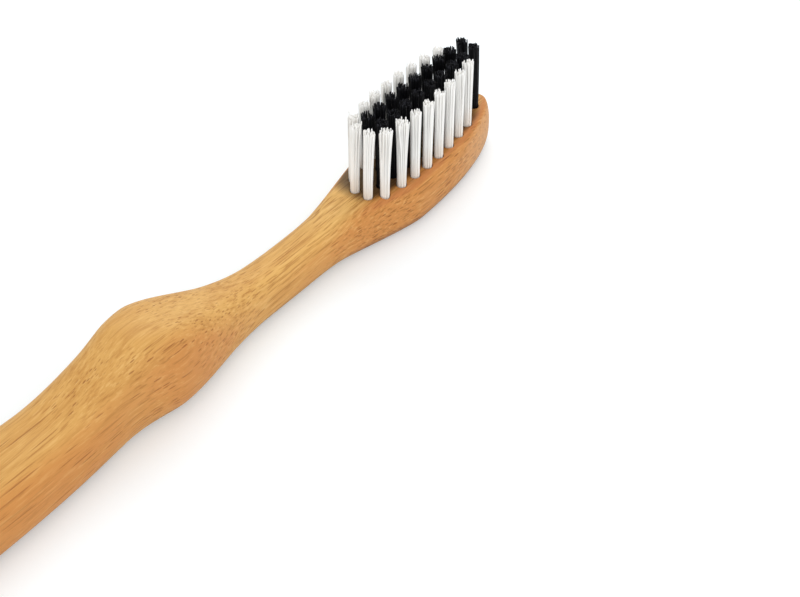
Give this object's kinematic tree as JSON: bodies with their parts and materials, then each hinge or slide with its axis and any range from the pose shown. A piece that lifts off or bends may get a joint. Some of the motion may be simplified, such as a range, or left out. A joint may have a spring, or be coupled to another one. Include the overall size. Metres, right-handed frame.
{
  "type": "manual toothbrush",
  "caption": "Straight manual toothbrush: slim one-piece bamboo handle with a narrow neck and a raised thumb rest, oval head, inner rows of black and outer rows of white bristle tufts.",
  "frame": {"origin": "on the flat back of the handle, under the middle of the brush's length", "axes": "+X from the end of the grip towards the tip of the head, +Y to the left when looking along +X with the bristles up, +Z out of the bristle side"},
  "size_m": [0.19, 0.0112, 0.0172],
  "materials": {
    "bamboo": "satin, lightly oiled",
    "white_nylon": "fine translucent filaments, satin",
    "black_nylon": "fine filaments, satin",
    "anchor_wire": "drawn flat wire"
  },
  "bodies": {
    "root": {"handle": "bamboo", "tuft_anchors": "anchor_wire", "black_tuft_left_1": "black_nylon", "black_tuft_left_2": "black_nylon", "black_tuft_left_3": "black_nylon", "black_tuft_left_4": "black_nylon", "black_tuft_left_5": "black_nylon", "black_tuft_left_6": "black_nylon", "black_tuft_left_7": "black_nylon", "black_tuft_left_8": "black_nylon", "black_tuft_left_9": "black_nylon", "black_tuft_right_1": "black_nylon", "black_tuft_right_2": "black_nylon", "black_tuft_right_3": "black_nylon", "black_tuft_right_4": "black_nylon", "black_tuft_right_5": "black_nylon", "black_tuft_right_6": "black_nylon", "black_tuft_right_7": "black_nylon", "black_tuft_right_8": "black_nylon", "black_tuft_right_9": "black_nylon", "white_tuft_left_1": "white_nylon", "white_tuft_left_2": "white_nylon", "white_tuft_left_3": "white_nylon", "white_tuft_left_4": "white_nylon", "white_tuft_left_5": "white_nylon", "white_tuft_left_6": "white_nylon", "white_tuft_left_7": "white_nylon", "white_tuft_left_8": "white_nylon", "white_tuft_right_1": "white_nylon", "white_tuft_right_2": "white_nylon", "white_tuft_right_3": "white_nylon", "white_tuft_right_4": "white_nylon", "white_tuft_right_5": "white_nylon", "white_tuft_right_6": "white_nylon", "white_tuft_right_7": "white_nylon", "white_tuft_right_8": "white_nylon", "heel_tuft_left": "white_nylon", "heel_tuft_right": "white_nylon"}
  },
  "joints": []
}
